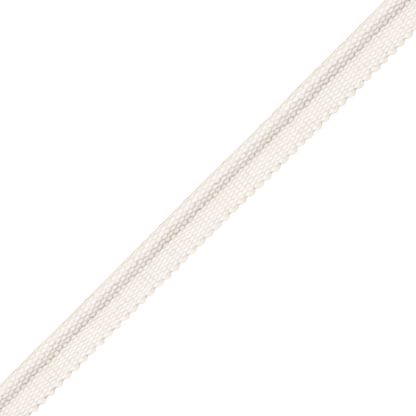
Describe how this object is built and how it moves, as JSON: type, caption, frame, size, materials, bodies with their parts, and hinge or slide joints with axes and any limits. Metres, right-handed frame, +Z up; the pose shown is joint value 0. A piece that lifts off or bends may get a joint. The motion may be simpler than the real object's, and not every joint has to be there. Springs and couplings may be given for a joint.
{
  "type": "flanged piping trim length",
  "caption": "Straight cut length of woven cotton piping trim: a round corded bead along one side and a flat doubled flange with scalloped selvedges along the other.",
  "frame": {"origin": "middle of the underside, on the surface the trim lies on", "axes": "+X along the trim, +Y towards the bead, so the flange points to -Y, +Z up"},
  "size_m": [0.2416, 0.0166, 0.0062],
  "materials": {
    "woven_cotton": "matt woven cotton tape, natural cream, undyed",
    "filler_cotton": "matt loosely twisted cotton cord, natural cream"
  },
  "bodies": {
    "root": {"piping_tape": "woven_cotton", "filler_cord": "filler_cotton"}
  },
  "joints": []
}
